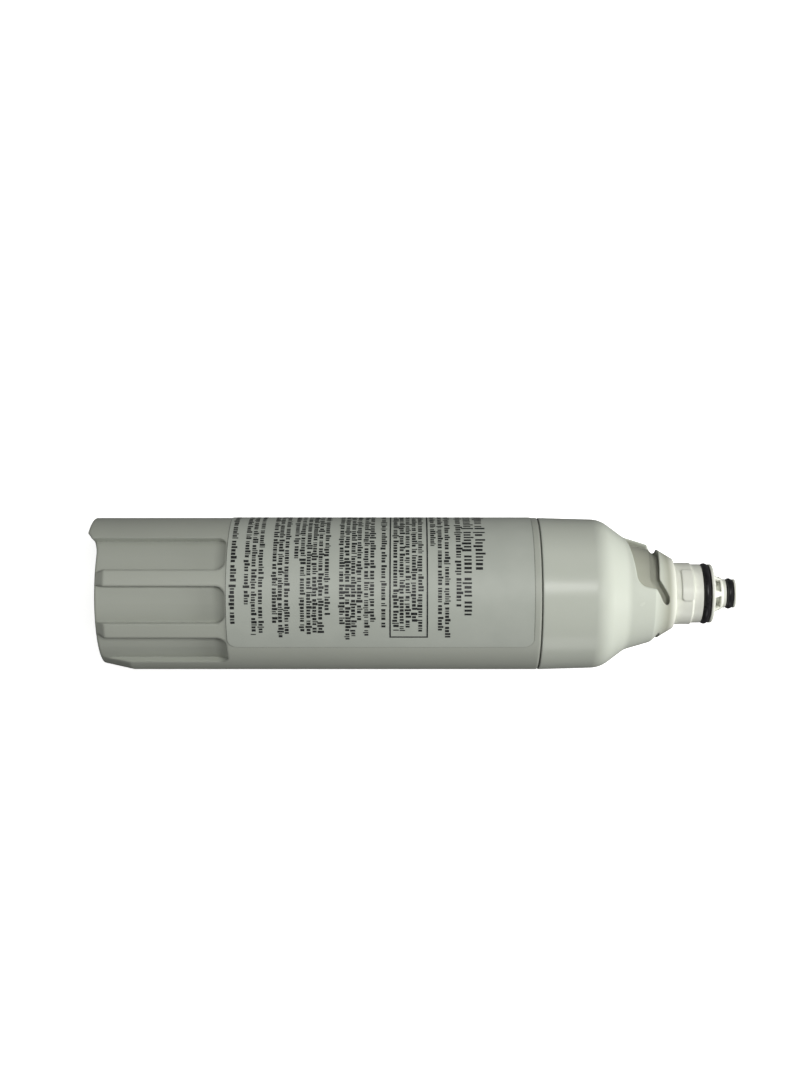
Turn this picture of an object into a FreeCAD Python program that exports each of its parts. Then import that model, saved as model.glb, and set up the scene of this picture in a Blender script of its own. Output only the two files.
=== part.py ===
import FreeCAD
import Part
import math
import os

# Fridge water filter cartridge, in millimetres.
# It stands on its grip end, with +Z along its axis towards the neck and z = 0 at the end of the tab.
# Angles round the axis are degrees from the front (-Y), positive towards +X.

# Housing: the tube below the weld seam
body_radius = 21.2
housing_length = 120.5
housing_wall = 2.2
housing_floor = 3.0
bore_taper = 3.0
seam_chamfer = 0.3

# Grip: a row of flutes on the front and one on the back, with wide lands between them
flute_pitch = 40.0
flutes_a_row = 3
flute_row_angle = 6.8
flute_width = 10.1
flute_depth = 1.8
flute_length = 35.3
flute_runout = 3.6
flute_corner = 2.8
rib_chamfer_length = 2.5
land_chamfer_length = 8.0
tab_angle = -90.0
tab_height = 3.0
tab_lip = 4.3
tab_round = 0.6
scoop_radius = 7.8

# Label wrapped round the tube
label_thickness = 0.1
label_glue = 0.06
label_gap_to_flutes = 0.3
label_gap_to_seam = 2.1
label_edge_angle = 41.0
label_wrap = 290.0
label_corner = 2.7

# Head: heights are measured one after another from the seam up to the tip
tongue_length = 5.0
tongue_wall = 1.8
weld_clearance = 0.1
head_draft = 0.45
head_straight = 17.4
shoulder_height = 6.8
shoulder_round = 8.0
bell_height = 7.3
bell_base_radius = 15.7
bell_base_round = 5.0
bell_top_radius = 13.6
bell_top_round = 1.0
lug_height = 6.3
lug_front_radius = 9.8
collar_height = 5.1
collar_radius = 8.6
land_height = 2.7
land_radius = 8.2
flange_height = 0.9
cage_height = 2.9
cage_base_radius = 5.9
nozzle_land_height = 0.9
nozzle_radius = 4.0
nozzle_lip_height = 0.7
edge_break = 0.3
head_wall = 3.0
roof_drop = 1.0

# Bayonet tracks, cut behind the two lugs
track_count = 2
track_start_angle = -97.0
track_middle_angle = -42.0
track_width = 2.5
track_depth = 1.9
track_fall = 1.1
track_rise = 3.0
track_ramp = 2.9
track_reach = 8.4
track_turn_radius = 3.0
track_offset = -0.15
pocket_end_angle = -7.0
pocket_depth = 1.4
pocket_slant = 2.4
pocket_corner = 2.5
key_start_angle = -51.0
key_end_angle = 13.0
key_height = 0.5
key_length = 3.3
key_corner = 0.8

# Water ways through the neck
inlet_bore_radius = 5.0
outlet_tube_radius = 2.9
outlet_bore_radius = 1.4
web_count = 4
web_thickness = 1.4
web_height = 18.0
window_count = 6
window_width = 3.6
window_height = 2.2
cage_wall = 0.9

# Seals
neck_ring_section = 2.2
nozzle_ring_section = 2.0
spigot_ring_section = 1.6
gland_clearance = 0.2
ring_stand_out = 0.3

# Filter element inside
foot_height = 4.0
foot_count = 4
foot_width = 3.0
flow_gap = 0.8
cap_base = 2.0
cap_skirt = 5.0
cap_wall = 0.8
wrap_thickness = 0.8
block_bore_radius = 4.5
element_rise = 6.5
spigot_radius = 4.2
spigot_bore_radius = 2.0
spigot_clearance = 0.4
socket_wall = 1.8
socket_depth = 8.0
socket_roof = 1.6
socket_mouth_height = 18.0
spigot_end_gap = 0.6

# Stations along the axis
end_face_z = tab_height
floor_z = end_face_z + housing_floor
flute_end_z = end_face_z + flute_length
seam_z = end_face_z + housing_length
shoulder_z = seam_z + head_straight
bell_z = shoulder_z + shoulder_height
lug_z = bell_z + bell_height
collar_z = lug_z + lug_height
land_z = collar_z + collar_height
neck_gland_z = land_z + land_height
neck_gland_width = neck_ring_section + gland_clearance
flange_z = neck_gland_z + neck_gland_width
cage_z = flange_z + flange_height
nozzle_z = cage_z + cage_height
nozzle_gland_z = nozzle_z + nozzle_land_height
nozzle_gland_width = nozzle_ring_section + gland_clearance
lip_z = nozzle_gland_z + nozzle_gland_width
tip_z = lip_z + nozzle_lip_height
tongue_z = seam_z - tongue_length
socket_z = seam_z + socket_mouth_height
socket_top_z = socket_z + socket_depth

# Radii that follow from the sizes above
flute_floor_radius = body_radius - flute_depth
label_radius = body_radius + label_glue + label_thickness
grip_bore_radius = flute_floor_radius - housing_wall
body_bore_radius = body_radius - housing_wall
tongue_radius = body_bore_radius - weld_clearance
tongue_bore_radius = tongue_radius - tongue_wall
neck_gland_radius = land_radius + ring_stand_out - neck_ring_section
nozzle_gland_radius = nozzle_radius + ring_stand_out - nozzle_ring_section
cap_radius = min(grip_bore_radius, tongue_bore_radius) - flow_gap
wrap_radius = cap_radius - cap_wall
block_radius = wrap_radius - wrap_thickness
socket_bore_radius = spigot_radius + spigot_clearance
socket_radius = socket_bore_radius + socket_wall

# Heights inside
cap_bottom_z = floor_z + foot_height
block_bottom_z = cap_bottom_z + cap_base
element_top_z = seam_z + element_rise
block_top_z = element_top_z - cap_base
spigot_top_z = socket_top_z - spigot_end_gap

# Half of a row of flutes, from its middle to the middle of its last flute, in degrees
flute_row_half = flute_pitch * (flutes_a_row - 1) / 2

# How far cutting shapes reach past what they cut
margin = 2.0

origin = FreeCAD.Vector(0, 0, 0)
axis = FreeCAD.Vector(0, 0, 1)


def section(r, z):
    """A point of a profile that is turned about the axis."""
    return FreeCAD.Vector(r, 0, z)


def plan(t, z):
    """A point of an outline that is seen along the radius, t across and z up."""
    return FreeCAD.Vector(0, t, z)


def rounded_wire(corners, place):
    """A closed wire through corners (a, b, radius), each rounded by its own radius."""
    spots = [place(a, b) for a, b, _ in corners]
    turns = []
    for i, (_, _, radius) in enumerate(corners):
        back = (spots[i - 1] - spots[i]).normalize()
        ahead = (spots[(i + 1) % len(spots)] - spots[i]).normalize()
        half = back.getAngle(ahead) / 2
        reach = radius / math.tan(half)
        inward = (back + ahead).normalize() if radius else back
        middle = spots[i] + inward * (radius / math.sin(half) - radius)
        turns.append((spots[i] + back * reach, middle, spots[i] + ahead * reach))
    edges = []
    for i, (enter, middle, leave) in enumerate(turns):
        if corners[i][2]:
            edges.append(Part.Arc(enter, middle, leave).toShape())
        following = turns[(i + 1) % len(turns)][0]
        edges.append(Part.LineSegment(leave, following).toShape())
    return Part.Wire(edges)


def turned(corners, sweep=360.0):
    """The solid that a profile of (r, z, radius) corners makes when it is turned about the axis."""
    return Part.Face(rounded_wire(corners, section)).revolve(origin, axis, sweep)


def sharp(*points):
    """Corners without rounding."""
    return [(a, b, 0) for a, b in points]


def prism(corners, reach):
    """The outline (t, z, radius) carried outwards from the axis along +X."""
    return Part.Face(rounded_wire(corners, plan)).extrude(FreeCAD.Vector(reach, 0, 0))


def at_angle(shape, angle):
    """A copy of a shape made along +X, turned to an angle from the front."""
    copy = shape.copy()
    copy.rotate(origin, axis, angle - 90)
    return copy


def repeated(shape, angles):
    return [at_angle(shape, angle) for angle in angles]


def even_angles(count, first=0.0):
    return [first + 360.0 * i / count for i in range(count)]


def tube(outer, inner, bottom, top):
    return turned(sharp((inner, bottom), (outer, bottom), (outer, top), (inner, top)))


def rod(radius, bottom, top):
    return Part.makeCylinder(radius, top - bottom, section(0, bottom))


def ring_seal(bed_radius, ring_section, bottom, width):
    """A round ring lying on the bed of its gland, in the middle of the gland's width."""
    torus = Part.makeTorus(bed_radius + ring_section / 2, ring_section / 2)
    torus.translate(FreeCAD.Vector(0, 0, bottom + width / 2))
    return torus


def flute_cutters():
    """One flute: a straight channel with rounded inner corners, whose floor sweeps up to the outside."""
    cove_radius = (flute_runout ** 2 + flute_depth ** 2) / (2 * flute_depth)
    cove_z = flute_end_z - flute_runout
    turn = math.asin(flute_runout / cove_radius)
    outer = body_radius + margin
    centre_r = flute_floor_radius + cove_radius
    middle = section(centre_r - cove_radius * math.cos(turn / 2), cove_z + cove_radius * math.sin(turn / 2))
    floor_start = section(flute_floor_radius, -margin)
    floor_end = section(flute_floor_radius, cove_z)
    surface = section(body_radius, flute_end_z)
    outside_top = section(outer, flute_end_z + margin)
    outside_start = section(outer, -margin)
    profile = Part.Wire([
        Part.LineSegment(floor_start, floor_end).toShape(),
        Part.Arc(floor_end, middle, surface).toShape(),
        Part.LineSegment(surface, outside_top).toShape(),
        Part.LineSegment(outside_top, outside_start).toShape(),
        Part.LineSegment(outside_start, floor_start).toShape(),
    ])
    depth_ring = Part.Face(profile).revolve(origin, axis, 360)
    half = flute_width / 2
    outline = [
        (-half, -margin, 0),
        (half, -margin, 0),
        (half, flute_end_z, flute_corner),
        (-half, flute_end_z, flute_corner),
    ]
    flute = prism(outline, outer + margin).common(depth_ring)
    first = flute_row_angle - flute_row_half
    row = [first + flute_pitch * i for i in range(flutes_a_row)]
    return repeated(flute, row + [angle + 180 for angle in row])


def end_chamfer(length, sweep):
    """A cone that takes the rim down to the flute floor at the end face, part of the way round."""
    outer = body_radius + margin
    slope = flute_depth / length
    corners = sharp(
        (flute_floor_radius - slope * (end_face_z + margin), -margin),
        (outer, -margin),
        (outer, end_face_z + (outer - flute_floor_radius) / slope),
    )
    return turned(corners, sweep)


def end_cutters():
    """The shapes that leave the tab on the end face and chamfer the ends of the ribs and the lower land."""
    outer = body_radius + margin
    lip = body_radius - tab_lip
    scoop_run = math.sqrt(scoop_radius ** 2 - (scoop_radius - tab_height) ** 2)
    turn = math.asin(scoop_run / scoop_radius)
    scoop_start = lip - scoop_run
    middle = section(
        scoop_start + scoop_radius * math.sin(turn / 2),
        end_face_z - scoop_radius * (1 - math.cos(turn / 2)),
    )
    spots = [section(lip, 0), section(lip, -margin), section(-outer, -margin)]
    spots += [section(-outer, end_face_z), section(scoop_start, end_face_z)]
    edges = [Part.LineSegment(a, b).toShape() for a, b in zip(spots, spots[1:])]
    edges.append(Part.Arc(spots[-1], middle, spots[0]).toShape())
    scoop = Part.Face(Part.Wire(edges)).extrude(FreeCAD.Vector(0, 2 * outer, 0))
    scoop.translate(FreeCAD.Vector(0, -outer, 0))

    front = flute_row_angle - flute_row_half
    row_sweep = 2 * flute_row_half
    rib_chamfer = end_chamfer(rib_chamfer_length, row_sweep)
    land_chamfer = end_chamfer(land_chamfer_length, 180 - row_sweep)
    return [
        at_angle(scoop, tab_angle),
        at_angle(rib_chamfer, front),
        at_angle(rib_chamfer, front + 180),
        at_angle(land_chamfer, front + row_sweep),
    ]


def make_housing():
    bore_change_z = flute_end_z + housing_wall
    outside = turned([
        (0, 0, 0),
        (body_radius, 0, tab_round),
        (body_radius, seam_z - seam_chamfer, 0),
        (body_radius - seam_chamfer, seam_z, 0),
        (0, seam_z, 0),
    ])
    inside = turned([
        (0, floor_z, 0),
        (grip_bore_radius, floor_z, housing_wall / 2),
        (grip_bore_radius, bore_change_z, 0),
        (body_bore_radius, bore_change_z + bore_taper, 0),
        (body_bore_radius, seam_z + margin, 0),
        (0, seam_z + margin, 0),
    ])
    return outside.cut([inside] + flute_cutters() + end_cutters())


def make_label():
    """A thin sheet on the tube, with its corners rounded."""
    bottom = flute_end_z + label_gap_to_flutes
    top = seam_z - label_gap_to_seam
    inner = body_radius + label_glue
    outer = inner + label_thickness
    profile = sharp((inner, bottom), (outer, bottom), (outer, top), (inner, top))
    sheet = turned(profile, label_wrap)
    sheet = at_angle(sheet, label_edge_angle - label_wrap)
    square = Part.makeBox(outer, label_corner, label_corner)
    disc = Part.makeCylinder(label_corner, outer, plan(label_corner, label_corner), FreeCAD.Vector(1, 0, 0))
    spandrel = square.cut(disc)
    upper = spandrel.mirror(origin, axis)
    lower_start = spandrel.translated(FreeCAD.Vector(0, 0, bottom))
    upper_start = upper.translated(FreeCAD.Vector(0, 0, top))
    across = FreeCAD.Vector(0, 1, 0)
    corners = repeated(lower_start, [label_edge_angle - label_wrap])
    corners += repeated(upper_start, [label_edge_angle - label_wrap])
    corners += repeated(lower_start.mirror(origin, across), [label_edge_angle])
    corners += repeated(upper_start.mirror(origin, across), [label_edge_angle])
    return sheet.cut(corners)


def head_outside():
    return turned([
        (0, tongue_z, 0),
        (tongue_radius, tongue_z, 0),
        (tongue_radius, seam_z, 0),
        (body_radius - seam_chamfer, seam_z, 0),
        (body_radius, seam_z + seam_chamfer, 0),
        (body_radius - head_draft, shoulder_z, shoulder_round),
        (bell_base_radius, bell_z, bell_base_round),
        (bell_top_radius, lug_z, bell_top_round),
        (lug_front_radius, collar_z, edge_break),
        (collar_radius, collar_z, edge_break),
        (collar_radius, land_z, edge_break),
        (land_radius, land_z, 0),
        (land_radius, neck_gland_z, 0),
        (neck_gland_radius, neck_gland_z, 0),
        (neck_gland_radius, flange_z, 0),
        (land_radius, flange_z, 0),
        (land_radius, cage_z, edge_break),
        (cage_base_radius, cage_z, 0),
        (nozzle_radius + edge_break, nozzle_z, 0),
        (nozzle_radius, nozzle_z, 0),
        (nozzle_radius, nozzle_gland_z, 0),
        (nozzle_gland_radius, nozzle_gland_z, 0),
        (nozzle_gland_radius, lip_z, 0),
        (nozzle_radius, lip_z, 0),
        (nozzle_radius, tip_z, edge_break),
        (0, tip_z, 0),
    ])


def head_inside():
    """The space under the dome and the ring-shaped inlet way round the outlet tube."""
    inlet_top_z = nozzle_z - cage_wall
    return turned([
        (0, tongue_z - margin, 0),
        (tongue_bore_radius, tongue_z - margin, 0),
        (tongue_bore_radius, shoulder_z - roof_drop, 0),
        (bell_base_radius - head_wall, bell_z - roof_drop, 0),
        (bell_top_radius - head_wall, lug_z - roof_drop, 0),
        (inlet_bore_radius, collar_z + edge_break, 0),
        (inlet_bore_radius, cage_z - edge_break, 0),
        (nozzle_radius + edge_break - cage_wall, inlet_top_z, 0),
        (outlet_tube_radius, inlet_top_z, 0),
        (outlet_tube_radius, socket_top_z + socket_roof, 0),
        (socket_radius, socket_top_z + socket_roof, 0),
        (socket_radius, socket_z, 0),
        (0, socket_z, 0),
    ])


def bell_shell(depth, bottom, top):
    """The space outside the bell's surface, sunk into it by a depth, between two heights."""
    outer = bell_base_radius + margin
    slope_low = (bell_base_radius - bell_top_radius) / bell_height
    slope_high = (bell_top_radius - lug_front_radius) / lug_height
    return turned(sharp(
        (bell_top_radius + slope_low * (lug_z - bottom) - depth, bottom),
        (outer, bottom),
        (outer, top),
        (bell_top_radius - slope_high * (top - lug_z) - depth, top),
        (bell_top_radius - depth, lug_z),
    ))


def track_cutters():
    """The groove behind each lug, with the ramp at its end, and the shallower pocket beside it."""
    back_reach = bell_top_radius * math.sin(math.radians(track_middle_angle - track_start_angle))
    bend_t = track_reach - track_ramp
    bend_z = lug_z + track_offset
    start = plan(-back_reach, bend_z + track_fall)
    corner = plan(bend_t, bend_z)
    end = plan(track_reach, bend_z + track_rise)
    arrive = (corner - start).normalize()
    depart = (end - corner).normalize()
    inward = (depart - arrive).normalize()
    half_turn = arrive.getAngle(depart) / 2
    setback = track_turn_radius * math.tan(half_turn)
    enter = corner - arrive * setback
    leave = corner + depart * setback
    middle = corner + inward * (track_turn_radius / math.cos(half_turn) - track_turn_radius)
    line = Part.Wire([
        Part.LineSegment(start, enter).toShape(),
        Part.Arc(enter, middle, leave).toShape(),
        Part.LineSegment(leave, end).toShape(),
    ])
    band = Part.Face(line.makeOffset2D(track_width / 2))
    reach = bell_base_radius + 2 * margin
    top = collar_z - edge_break
    groove = band.extrude(FreeCAD.Vector(reach, 0, 0)).common(bell_shell(track_depth, bell_z, top))

    pocket_end = bell_top_radius * math.sin(math.radians(pocket_end_angle - track_middle_angle))
    pocket_outline = [
        (-back_reach, bell_z, 0),
        (pocket_end, bell_z + pocket_slant, pocket_corner),
        (pocket_end, bend_z + track_rise * (pocket_end - bend_t) / track_ramp, 0),
        (bend_t, bend_z, 0),
        (-back_reach, bend_z + track_fall, 0),
    ]
    pocket = prism(pocket_outline, reach).common(bell_shell(pocket_depth, bell_z, top))
    angles = even_angles(track_count, track_middle_angle)
    return repeated(groove, angles) + repeated(pocket, angles)


def key_pads():
    """Raised pads on the collar, one in line with each lug."""
    half = collar_radius * math.sin(math.radians((key_end_angle - key_start_angle) / 2))
    bottom = land_z - key_length
    outline = [
        (-half, bottom, key_corner),
        (half, bottom, key_corner),
        (half, land_z, key_corner),
        (-half, land_z, key_corner),
    ]
    pad_radius = collar_radius + key_height
    pad = prism(outline, pad_radius + margin).common(tube(pad_radius, land_radius, bottom, land_z))
    return repeated(pad, even_angles(track_count, (key_start_angle + key_end_angle) / 2))


def make_head():
    outside = head_outside()
    web_top = cage_z - edge_break
    web_corner = FreeCAD.Vector(0, -web_thickness / 2, web_top - web_height)
    web_box = Part.makeBox(bell_top_radius, web_thickness, web_height, web_corner)
    webs = repeated(web_box.common(outside), even_angles(web_count, 45.0))
    window_middle = cage_z + (cage_height - cage_wall) / 2
    window_outline = sharp(
        (-window_width / 2, window_middle - window_height / 2),
        (window_width / 2, window_middle - window_height / 2),
        (window_width / 2, window_middle + window_height / 2),
        (-window_width / 2, window_middle + window_height / 2),
    )
    window_ring = tube(cage_base_radius + margin, outlet_tube_radius, cage_z, nozzle_z)
    window = prism(window_outline, cage_base_radius + margin).common(window_ring)
    bores = [
        rod(socket_bore_radius, socket_z - margin, socket_top_z),
        rod(outlet_bore_radius, socket_top_z - margin, tip_z + margin),
    ]
    head = outside.cut(head_inside()).fuse(webs + key_pads())
    head = head.cut(bores + repeated(window, even_angles(window_count, 30.0)) + track_cutters())
    return head.removeSplitter()


def make_lower_end_cap():
    """A closed cup under the carbon block, with feet that stand on the housing floor."""
    cup = turned(sharp(
        (0, cap_bottom_z),
        (cap_radius, cap_bottom_z),
        (cap_radius, block_bottom_z + cap_skirt),
        (wrap_radius, block_bottom_z + cap_skirt),
        (wrap_radius, block_bottom_z),
        (0, block_bottom_z),
    ))
    foot = Part.makeBox(
        cap_radius - block_bore_radius,
        foot_width,
        foot_height,
        FreeCAD.Vector(block_bore_radius, -foot_width / 2, floor_z),
    )
    foot = foot.common(rod(cap_radius - housing_wall / 2, floor_z, cap_bottom_z))
    return cup.fuse(repeated(foot, even_angles(foot_count))).removeSplitter()


def make_upper_end_cap():
    """A cup over the carbon block, with a hollow spigot that plugs into the head."""
    gland_width = spigot_ring_section + gland_clearance
    gland_z = spigot_top_z - cap_base - gland_width
    gland_radius = socket_bore_radius - spigot_ring_section
    return turned([
        (spigot_bore_radius, block_top_z, 0),
        (wrap_radius, block_top_z, 0),
        (wrap_radius, block_top_z - cap_skirt, 0),
        (cap_radius, block_top_z - cap_skirt, 0),
        (cap_radius, element_top_z, edge_break),
        (spigot_radius, element_top_z, edge_break),
        (spigot_radius, gland_z, 0),
        (gland_radius, gland_z, 0),
        (gland_radius, gland_z + gland_width, 0),
        (spigot_radius, gland_z + gland_width, 0),
        (spigot_radius, spigot_top_z, edge_break),
        (spigot_bore_radius, spigot_top_z, 0),
    ])


def make_spigot_o_ring():
    gland_width = spigot_ring_section + gland_clearance
    gland_radius = socket_bore_radius - spigot_ring_section
    return ring_seal(gland_radius, spigot_ring_section, spigot_top_z - cap_base - gland_width, gland_width)


def laid_down(shape):
    """The shape as it lies on its side: the axis along +X, the front up and the label on the ground."""
    turn = FreeCAD.Rotation(
        FreeCAD.Vector(0, -1, 0), FreeCAD.Vector(0, 0, -1), FreeCAD.Vector(1, 0, 0), "XYZ"
    )
    place = FreeCAD.Placement(FreeCAD.Vector(-tip_z / 2, 0, label_radius), turn)
    return shape.transformed(place.toMatrix(), True)


def main():
    os.makedirs("parts", exist_ok=True)
    pieces = {
        "housing": make_housing(),
        "head_cap": make_head(),
        "wrap_label": make_label(),
        "neck_o_ring": ring_seal(neck_gland_radius, neck_ring_section, neck_gland_z, neck_gland_width),
        "nozzle_o_ring": ring_seal(
            nozzle_gland_radius, nozzle_ring_section, nozzle_gland_z, nozzle_gland_width
        ),
        "lower_end_cap": make_lower_end_cap(),
        "upper_end_cap": make_upper_end_cap(),
        "carbon_block": tube(block_radius, block_bore_radius, block_bottom_z, block_top_z),
        "prefilter_wrap": tube(wrap_radius, block_radius, block_bottom_z, block_top_z),
        "spigot_o_ring": make_spigot_o_ring(),
    }
    for name, piece in pieces.items():
        shape = laid_down(piece)
        shape.exportStep(f"parts/{name}.step")
        print(name, shape.isValid(), len(shape.Solids), round(shape.Volume))


if __name__ == "__main__":
    main()
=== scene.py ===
"""Looks of the fridge water filter cartridge: finishes, label print, stage, light and camera."""

import math
import random

import bpy
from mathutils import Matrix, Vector


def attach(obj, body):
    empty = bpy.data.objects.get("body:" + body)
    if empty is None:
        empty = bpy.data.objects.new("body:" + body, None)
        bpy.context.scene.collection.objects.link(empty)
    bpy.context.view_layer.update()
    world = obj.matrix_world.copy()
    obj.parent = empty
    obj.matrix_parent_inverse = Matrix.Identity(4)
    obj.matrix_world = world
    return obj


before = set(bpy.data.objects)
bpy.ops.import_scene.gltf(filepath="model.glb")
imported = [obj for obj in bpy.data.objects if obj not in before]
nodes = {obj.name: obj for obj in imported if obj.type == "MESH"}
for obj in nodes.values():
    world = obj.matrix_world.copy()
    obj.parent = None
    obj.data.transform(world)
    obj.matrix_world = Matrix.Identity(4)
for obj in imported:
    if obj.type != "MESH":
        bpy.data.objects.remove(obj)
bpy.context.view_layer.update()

MM = 0.001
scene = bpy.context.scene
draw = random.Random(7)

# The cartridge lies along X, with its axis this high, in mm.
AXIS_HEIGHT = 21.36

# The cone of the head's bell, in mm: from X = BELL_START on, its radius plus BELL_TAPER times X
# is BELL_LEVEL. Over the first RECESS_SHADE_DEPTH below it the head is painted greyer towards
# RECESS_SHADE_TONE:
# painted shade in its pockets and tracks.
BELL_START = 58
BELL_TAPER = 0.288
BELL_LEVEL = 32.38
RECESS_SHADE_DEPTH = 1.2
# The painted shade's tone, multiplied into the head's colour in its recesses.
RECESS_SHADE_TONE = (0.63, 0.612, 0.575, 1)

# Between these two places on X, in mm, the head turns to the white of its neck.
NECK_ZONE = (69.5, 72.5)
NECK_TONE = (0.74, 0.755, 0.68, 1)

# Between the two ends of CORNER_SHADE_ZONE, places on X in mm, plastic gets painted shade within
# CORNER_SHADE_REACH
# of an inner corner: darker by this power of how open the place is.
CORNER_SHADE_ZONE = (-51.2, 40)
CORNER_SHADE_REACH = 0.55
CORNER_SHADE_POWER = 2.8

# Noise patterns keep mostly to this range.
NOISE_RANGE = (0.2, 0.8)

# The sockets that a mix node uses for colours.
MIX_SHARE = 0
MIX_UNDER = 6
MIX_OVER = 7
MIX_RESULT = 2

# Label print, in mm and degrees. Distances are along X from PRINT_ORIGIN.
# Angle 0 faces up and angles grow towards -Y. Patches bend in steps of ARC_STEP.
PRINT_ORIGIN = -89.15
PRINT_RADIUS = 21.385
PRINT_START = -112
ARC_STEP = 3
CAP_HEIGHT = {"small": 1.45, "heading": 1.6, "medium": 1.8, "large": 2.7}
BAR_WIDTHS = {
    "small": (0.32, 0.55, 0.62, 0.72),
    "heading": (0.42, 0.7, 0.78, 0.86),
    "medium": (0.42, 0.6, 0.72),
    "large": (0.5, 0.6, 0.75),
}
BAR_GAP = {"small": 0.25, "heading": 0.28, "medium": 0.32, "large": 0.5}
WORD_GAP = {"small": 0.5, "heading": 0.55, "medium": 0.6, "large": 0.8}
WORD_LENGTHS = (2, 3, 4, 5, 6, 7, 8, 9)

# Shares of the cap height that a bar reaches above and below the foot of its line.
BAR_TOPS = (0.7, 0.74, 0.74, 1.0)
BAR_FEET = (0, 0, 0, 0, 0, 0, 0.2)

# The thin box round one paragraph.
BOX_START = -116
BOX_END = 32
BOX_BOTTOM = 82.2
BOX_TOP = 92.2
BOX_LINE = 0.4

# Each line of print: its distance, the angle where it ends, and its kind.
PRINT_LINES = [
    (40.1, 22, "heading"),
    (43.8, 6, "small"),
    (45.7, 31, "small"),
    (47.6, 29, "small"),
    (51.3, 21, "small"),
    (52.9, 32, "small"),
    (54.6, 29, "small"),
    (57.1, -27, "small"),
    (58.8, 29, "small"),
    (60.5, 31, "small"),
    (62.1, 29, "small"),
    (63.7, 30, "small"),
    (65.4, 15, "small"),
    (69.3, 22, "small"),
    (70.9, 34, "small"),
    (72.5, 33, "small"),
    (74.1, 19, "small"),
    (76.0, 33, "small"),
    (77.6, 20, "small"),
    (80.6, 24, "small"),
    (83.8, 28, "small"),
    (85.5, 27, "small"),
    (87.1, 24, "small"),
    (88.8, 21, "small"),
    (90.5, 27, "small"),
    (93.8, -37, "small"),
    (95.8, 27, "small"),
    (97.7, 33, "small"),
    (100.9, 9, "medium"),
    (103.5, 17, "large"),
    (106.6, -19, "large"),
]

# The floor, in metres: flat out to FLOOR_REACH, then bent up over FLOOR_BEND.
FLOOR_REACH = 1.6
FLOOR_BEND = 1.2
FLOOR_BEND_STEPS = 12
FLOOR_SIDES = 72


def new_material(name):
    """A fresh node material, with its tree, its shader and the object's own coordinates."""
    material = bpy.data.materials.new(name)
    material.use_nodes = True
    tree = material.node_tree
    shader = tree.nodes["Principled BSDF"]
    place = tree.nodes.new("ShaderNodeTexCoord")
    return material, tree, shader, place.outputs["Object"]


def feed(tree, socket, value):
    """Gives a socket its value, which is another socket or a constant."""
    if isinstance(value, bpy.types.NodeSocket):
        tree.links.new(value, socket)
    else:
        socket.default_value = value


def calculated(tree, operation, *values):
    """The result of one operation on these values."""
    node = tree.nodes.new("ShaderNodeMath")
    node.operation = operation
    for socket, value in zip(node.inputs, values):
        feed(tree, socket, value)
    return node.outputs["Value"]


def along_axis(tree, place):
    """How far along the cartridge's axis a place is."""
    node = tree.nodes.new("ShaderNodeSeparateXYZ")
    feed(tree, node.inputs["Vector"], place)
    return node.outputs["X"]


def from_axis(tree, place):
    """How far from the cartridge's axis a place is."""
    across = tree.nodes.new("ShaderNodeVectorMath")
    across.operation = "MULTIPLY_ADD"
    for socket, value in zip(across.inputs, (place, (0, 1, 1), (0, 0, -AXIS_HEIGHT * MM))):
        feed(tree, socket, value)
    radius = tree.nodes.new("ShaderNodeVectorMath")
    radius.operation = "LENGTH"
    feed(tree, radius.inputs[0], across.outputs["Vector"])
    return radius.outputs["Value"]


def remapped(tree, value, source, target=(0, 1), curve="LINEAR"):
    """Value moved from the range source to the range target, and held at its ends."""
    node = tree.nodes.new("ShaderNodeMapRange")
    node.interpolation_type = curve
    feed(tree, node.inputs["Value"], value)
    node.inputs["From Min"].default_value, node.inputs["From Max"].default_value = source
    node.inputs["To Min"].default_value, node.inputs["To Max"].default_value = target
    return node.outputs["Result"]


def mixed(tree, share, under, over, kind="MIX"):
    """The colour under, mixed with the colour over by share."""
    node = tree.nodes.new("ShaderNodeMix")
    node.data_type = "RGBA"
    node.blend_type = kind
    feed(tree, node.inputs[MIX_SHARE], share)
    feed(tree, node.inputs[MIX_UNDER], under)
    feed(tree, node.inputs[MIX_OVER], over)
    return node.outputs[MIX_RESULT]


def noise(tree, place, scale, detail=3.0, stretch=(1, 1, 1)):
    """A noise pattern with features about 1 / scale metres across."""
    mapping = tree.nodes.new("ShaderNodeMapping")
    mapping.inputs["Scale"].default_value = stretch
    feed(tree, mapping.inputs["Vector"], place)
    texture = tree.nodes.new("ShaderNodeTexNoise")
    texture.inputs["Scale"].default_value = scale
    texture.inputs["Detail"].default_value = detail
    feed(tree, texture.inputs["Vector"], mapping.outputs["Vector"])
    return texture.outputs["Fac"]


def ramp(tree, value, *stops):
    """A colour ramp over value between two stops, each a position and a colour."""
    node = tree.nodes.new("ShaderNodeValToRGB")
    for element, (position, colour) in zip(node.color_ramp.elements, stops):
        element.position = position
        element.color = (*colour, 1)
    feed(tree, node.inputs["Fac"], value)
    return node.outputs["Color"]


def bump(tree, height, distance, strength, before=None):
    """A normal roughened by height; distance is in mm."""
    node = tree.nodes.new("ShaderNodeBump")
    node.inputs["Distance"].default_value = distance * MM
    node.inputs["Strength"].default_value = strength
    feed(tree, node.inputs["Height"], height)
    if before:
        feed(tree, node.inputs["Normal"], before)
    return node.outputs["Normal"]


def soft_edge(tree, radius):
    """A normal that rounds sharp edges over radius, in mm."""
    node = tree.nodes.new("ShaderNodeBevel")
    node.samples = 6
    node.inputs["Radius"].default_value = radius * MM
    return node.outputs["Normal"]


def finish(tree, shader, colour, roughness, normal=None):
    """Gives the shader its colour, its roughness and, where there is one, its normal."""
    feed(tree, shader.inputs["Base Color"], colour)
    feed(tree, shader.inputs["Roughness"], roughness)
    if normal:
        feed(tree, shader.inputs["Normal"], normal)


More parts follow.
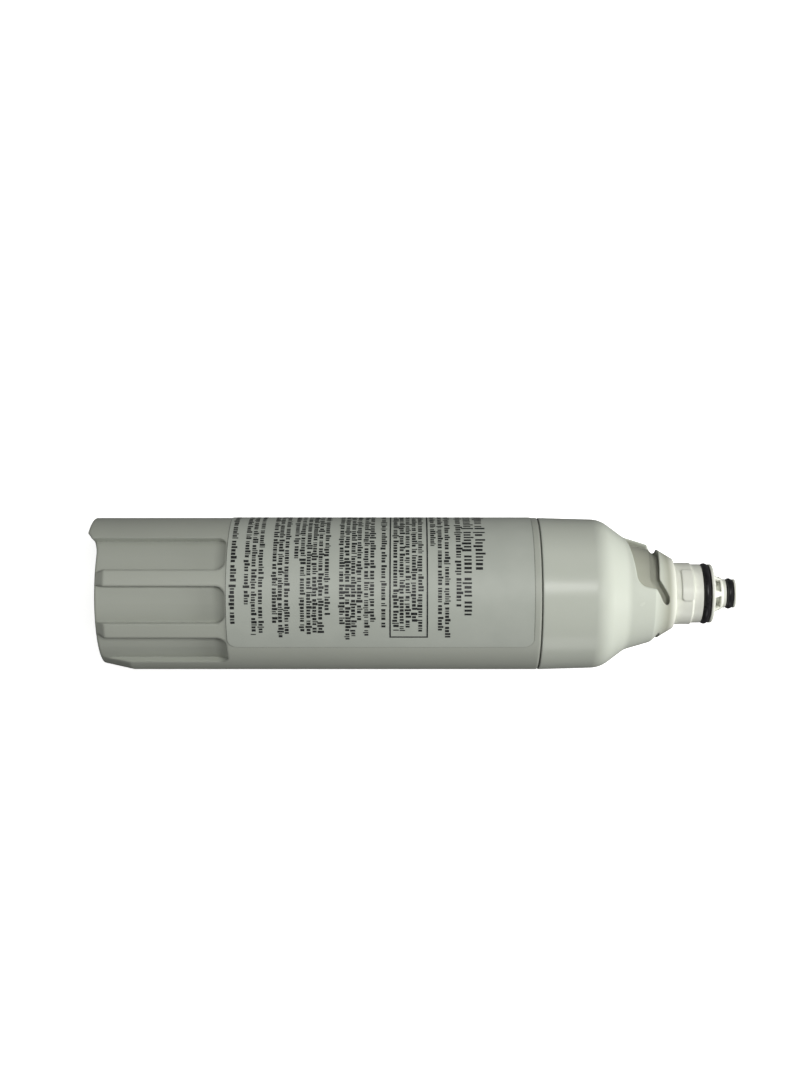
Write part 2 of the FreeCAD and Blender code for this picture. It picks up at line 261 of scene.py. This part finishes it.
def painted_corner_shade(tree, place, tone):
    """Tone with a thin line of painted shade along inner corners: the label's rim and the seam."""
    shade = tree.nodes.new("ShaderNodeAmbientOcclusion")
    shade.samples = 8
    shade.inputs["Distance"].default_value = CORNER_SHADE_REACH * MM
    openness = calculated(tree, "POWER", shade.outputs["AO"], CORNER_SHADE_POWER)
    start, end = CORNER_SHADE_ZONE
    middle = (start + end) / 2 * MM
    half = (end - start) / 2 * MM
    inside = calculated(tree, "COMPARE", along_axis(tree, place), middle, half)
    return mixed(tree, inside, tone, openness, "MULTIPLY")


def painted_recess_shade(tree, place, tone):
    """Tone with painted shade, greyer where the head lies below its bell's cone: pockets and
    tracks.
    """
    along = calculated(tree, "MAXIMUM", along_axis(tree, place), BELL_START * MM)
    level = calculated(tree, "MULTIPLY_ADD", along, BELL_TAPER, from_axis(tree, place))
    depth = remapped(tree, level, (BELL_LEVEL * MM, (BELL_LEVEL - RECESS_SHADE_DEPTH) * MM))
    return mixed(tree, depth, tone, RECESS_SHADE_TONE, "MULTIPLY")


def at_neck(tree, place, tone):
    """Tone, turning white at the neck."""
    start, end = NECK_ZONE
    share = remapped(tree, along_axis(tree, place), (start * MM, end * MM), curve="SMOOTHSTEP")
    return mixed(tree, share, tone, NECK_TONE)


def moulded_plastic(name, light, dark, roughness, grain, edge, is_head=False):
    """Moulded plastic: cloudy tone, fine grain and edges softened over edge, in mm."""
    material, tree, shader, place = new_material(name)
    low, high = NOISE_RANGE
    tone = ramp(tree, noise(tree, place, scale=45), (low, dark), (high, light))
    # Painted shade along inner corners, at the label's rim and the seam.
    tone = painted_corner_shade(tree, place, tone)
    if is_head:
        # Painted shade in the head's pockets and tracks.
        tone = painted_recess_shade(tree, place, tone)
        tone = at_neck(tree, place, tone)
    sheen = remapped(tree, noise(tree, place, scale=160), NOISE_RANGE, roughness)
    flow = noise(tree, place, scale=70, detail=1.0)
    normal = bump(tree, flow, distance=0.4, strength=0.12, before=soft_edge(tree, edge))
    pores = noise(tree, place, scale=2600, detail=2.0)
    normal = bump(tree, pores, distance=0.05, strength=grain, before=normal)
    finish(tree, shader, tone, sheen, normal)
    shader.inputs["IOR"].default_value = 1.49
    shader.inputs["Subsurface Weight"].default_value = 0.08
    shader.inputs["Subsurface Radius"].default_value = (0.0015, 0.0015, 0.0012)
    return material


def label_sheet(name):
    """Coated label stock: even tone, faint fibre and a satin coat."""
    material, tree, shader, place = new_material(name)
    cloud = noise(tree, place, scale=120)
    tone = ramp(tree, cloud, (0.35, (0.418, 0.445, 0.399)), (0.65, (0.443, 0.47, 0.422)))
    sheen = remapped(tree, noise(tree, place, scale=300), NOISE_RANGE, (0.44, 0.52))
    fibre = noise(tree, place, scale=1500, detail=4.0, stretch=(0.35, 1, 1))
    finish(tree, shader, tone, sheen, bump(tree, fibre, distance=0.04, strength=0.2))
    return material


def printing_ink(name):
    """Black ink with a slightly uneven cover."""
    material, tree, shader, place = new_material(name)
    cover = noise(tree, place, scale=900)
    tone = ramp(tree, cover, (0.4, (0.012, 0.013, 0.013)), (0.75, (0.0264, 0.0286, 0.0286)))
    sheen = remapped(tree, noise(tree, place, scale=300), NOISE_RANGE, (0.38, 0.5))
    finish(tree, shader, tone, sheen)
    return material


def seal_rubber(name):
    """Black seal rubber, a little greasy, with fine flow marks."""
    material, tree, shader, place = new_material(name)
    cloud = noise(tree, place, scale=500)
    tone = ramp(tree, cloud, (0.35, (0.008, 0.008, 0.009)), (0.7, (0.02, 0.02, 0.021)))
    sheen = remapped(tree, noise(tree, place, scale=700), NOISE_RANGE, (0.22, 0.42))
    marks = noise(tree, place, scale=2200)
    finish(tree, shader, tone, sheen, bump(tree, marks, distance=0.05, strength=0.3))
    return material


def pressed_carbon(name):
    """Pressed carbon grains."""
    material, tree, shader, place = new_material(name)
    grain = noise(tree, place, scale=1800, detail=5.0)
    tone = ramp(tree, grain, (0.3, (0.006, 0.006, 0.006)), (0.7, (0.035, 0.035, 0.036)))
    sheen = remapped(tree, grain, NOISE_RANGE, (0.7, 0.95))
    finish(tree, shader, tone, sheen, bump(tree, grain, distance=0.3, strength=0.8))
    return material


def felt(name):
    """White fibre felt."""
    material, tree, shader, place = new_material(name)
    fibre = noise(tree, place, scale=1400, detail=6.0, stretch=(0.3, 1, 1))
    tone = ramp(tree, fibre, (0.3, (0.55, 0.55, 0.53)), (0.7, (0.76, 0.76, 0.74)))
    sheen = remapped(tree, fibre, NOISE_RANGE, (0.8, 0.98))
    finish(tree, shader, tone, sheen, bump(tree, fibre, distance=0.4, strength=0.7))
    shader.inputs["Sheen Weight"].default_value = 0.2
    return material


def glowing_paper(name):
    """White paper that glows a little, as if lit from far off."""
    material, tree, shader, place = new_material(name)
    cloud = noise(tree, place, scale=6)
    tone = ramp(tree, cloud, (0.3, (0.86, 0.865, 0.86)), (0.7, (0.9, 0.9, 0.895)))
    finish(tree, shader, tone, 0.85)
    shader.inputs["Emission Color"].default_value = (1, 1, 0.995, 1)
    shader.inputs["Emission Strength"].default_value = 0.7
    return material


def dress(material, *names):
    """Gives the named solids this material."""
    for name in names:
        for slot in nodes[name].material_slots:
            slot.material = material


def new_object(name, points, faces, material):
    """A mesh object of one material."""
    mesh = bpy.data.meshes.new(name)
    mesh.from_pydata(points, [], faces)
    mesh.materials.append(material)
    thing = bpy.data.objects.new(name, mesh)
    scene.collection.objects.link(thing)
    return thing


def on_label(angle, along):
    """A point of the label's printed face, in metres."""
    turn = math.radians(angle)
    across = -PRINT_RADIUS * math.sin(turn)
    height = AXIS_HEIGHT + PRINT_RADIUS * math.cos(turn)
    return ((PRINT_ORIGIN + along) * MM, across * MM, height * MM)


def add_patch(points, faces, start, end, bottom, top):
    """A patch of the label between two angles and two distances, in steps that follow the curve."""
    steps = max(1, math.ceil(abs(end - start) / ARC_STEP))
    first = len(points)
    for step in range(steps + 1):
        angle = start + (end - start) * step / steps
        points.append(on_label(angle, bottom))
        points.append(on_label(angle, top))
    for step in range(steps):
        corner = first + 2 * step
        faces.append((corner, corner + 2, corner + 3, corner + 1))


def add_line(points, faces, along, end, kind):
    """One line of print as word-long rows of small upright bars."""
    degrees = math.degrees(1 / PRINT_RADIUS)
    cap = CAP_HEIGHT[kind]
    low = along - cap / 2
    angle = PRINT_START
    while True:
        for _ in range(draw.choice(WORD_LENGTHS)):
            bar = draw.choice(BAR_WIDTHS[kind]) * degrees
            if angle + bar > end:
                return
            foot = low - cap * draw.choice(BAR_FEET)
            top = low + cap * draw.choice(BAR_TOPS)
            add_patch(points, faces, angle, angle + bar, foot, top)
            angle += bar + BAR_GAP[kind] * degrees
        angle += WORD_GAP[kind] * degrees


def add_print(name, points, faces, ink):
    """A piece of print that lies on the label."""
    piece = new_object(name, points, faces, ink)
    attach(piece, "root")


def print_lines(name, kinds, ink):
    """The lines of these kinds, as one piece."""
    points = []
    faces = []
    for along, end, kind in PRINT_LINES:
        if kind in kinds:
            add_line(points, faces, along, end, kind)
    add_print(name, points, faces, ink)


def print_box(name, ink):
    """The thin outline round one paragraph."""
    points = []
    faces = []
    degrees = math.degrees(BOX_LINE / PRINT_RADIUS)
    for along in (BOX_BOTTOM, BOX_TOP):
        add_patch(points, faces, BOX_START, BOX_END, along - BOX_LINE / 2, along + BOX_LINE / 2)
    for angle in (BOX_START, BOX_END - degrees):
        add_patch(points, faces, angle, angle + degrees, BOX_BOTTOM, BOX_TOP)
    add_print(name, points, faces, ink)


def add_stage():
    """A round pale floor that curves up at its rim."""
    profile = []
    for step in range(FLOOR_BEND_STEPS + 1):
        turn = math.pi / 2 * step / FLOOR_BEND_STEPS
        reach = FLOOR_REACH + FLOOR_BEND * math.sin(turn)
        profile.append((reach, FLOOR_BEND - FLOOR_BEND * math.cos(turn)))
    points = [(0, 0, 0)]
    for reach, height in profile:
        for side in range(FLOOR_SIDES):
            turn = 2 * math.pi * side / FLOOR_SIDES
            points.append((reach * math.cos(turn), reach * math.sin(turn), height))
    faces = []
    for side in range(FLOOR_SIDES):
        after = (side + 1) % FLOOR_SIDES
        faces.append((0, 1 + side, 1 + after))
        for ring in range(FLOOR_BEND_STEPS):
            inner = 1 + ring * FLOOR_SIDES
            outer = inner + FLOOR_SIDES
            faces.append((inner + side, outer + side, outer + after, inner + after))
    floor = new_object("floor", points, faces, glowing_paper("paper_sweep"))
    for polygon in floor.data.polygons:
        polygon.use_smooth = True
    floor.visible_diffuse = False
    floor.visible_glossy = False


def add_light(name, place, power, size, glints=False):
    """A soft square light turned to the cartridge's middle, in metres and watts.

    Only with glints does it show in glossy faces.
    """
    data = bpy.data.lights.new(name, "AREA")
    data.energy = power
    data.size = size
    data.color = (1, 0.995, 0.98)
    light = bpy.data.objects.new(name, data)
    light.location = place
    aim = Vector((0, 0, AXIS_HEIGHT * MM)) - Vector(place)
    light.rotation_euler = aim.to_track_quat("-Z", "Y").to_euler()
    light.visible_glossy = glints
    scene.collection.objects.link(light)


def add_world(strength):
    """Even white light from all round."""
    world = bpy.data.worlds.new("studio")
    world.use_nodes = True
    backdrop = world.node_tree.nodes["Background"]
    backdrop.inputs["Color"].default_value = (1, 1, 1, 1)
    backdrop.inputs["Strength"].default_value = strength
    scene.world = world


def add_camera():
    """The photograph's camera: straight above, with the cartridge's axis across the picture."""
    data = bpy.data.cameras.new("camera")
    data.sensor_fit = "VERTICAL"
    data.sensor_height = 36
    data.lens = 53.4
    camera = bpy.data.objects.new("camera", data)
    camera.location = (-0.00295, 0.015, 0.47136)
    scene.collection.objects.link(camera)
    scene.camera = camera


body = moulded_plastic(
    "body_plastic",
    light=(0.41, 0.431, 0.379),
    dark=(0.39, 0.41, 0.361),
    roughness=(0.36, 0.46),
    grain=0.16,
    edge=1.0,
)
head = moulded_plastic(
    "head_plastic",
    light=(0.505, 0.535, 0.472),
    dark=(0.488, 0.516, 0.455),
    roughness=(0.2, 0.28),
    grain=0.04,
    edge=0.6,
    is_head=True,
)
caps = moulded_plastic(
    "cap_plastic",
    light=(0.7, 0.7, 0.67),
    dark=(0.66, 0.66, 0.63),
    roughness=(0.4, 0.5),
    grain=0.12,
    edge=0.3,
)
dress(body, "housing")
dress(head, "head_cap")
dress(caps, "lower_end_cap", "upper_end_cap")
dress(label_sheet("label_sheet"), "wrap_label")
dress(seal_rubber("seal_rubber"), "neck_o_ring", "nozzle_o_ring", "spigot_o_ring")
dress(pressed_carbon("carbon"), "carbon_block")
dress(felt("felt"), "prefilter_wrap")

dark_ink = printing_ink("dark_ink")
print_lines("print_text", ("small",), dark_ink)
print_lines("print_bold", ("heading", "medium", "large"), dark_ink)
print_box("print_box", dark_ink)

add_stage()
add_light("key", (0.47, 0.1, 0.84), power=3.8, size=0.35)
add_light("streak", (0.08, 0.24, 1.2), power=3.1, size=0.3, glints=True)
add_light("near_side", (0.11, -1.0, 0.2), power=0.75, size=0.4, glints=True)
add_light("far_side", (0.25, 1.0, 0.5), power=2.1, size=0.5)
add_light("neck_side", (0.97, -0.1, 0.17), power=10.8, size=0.32)
add_light("end_side", (-1.0, 0.0, 0.021), power=0.75, size=0.036)
add_world(strength=0.1)
add_camera()
scene.view_settings.view_transform = "Standard"
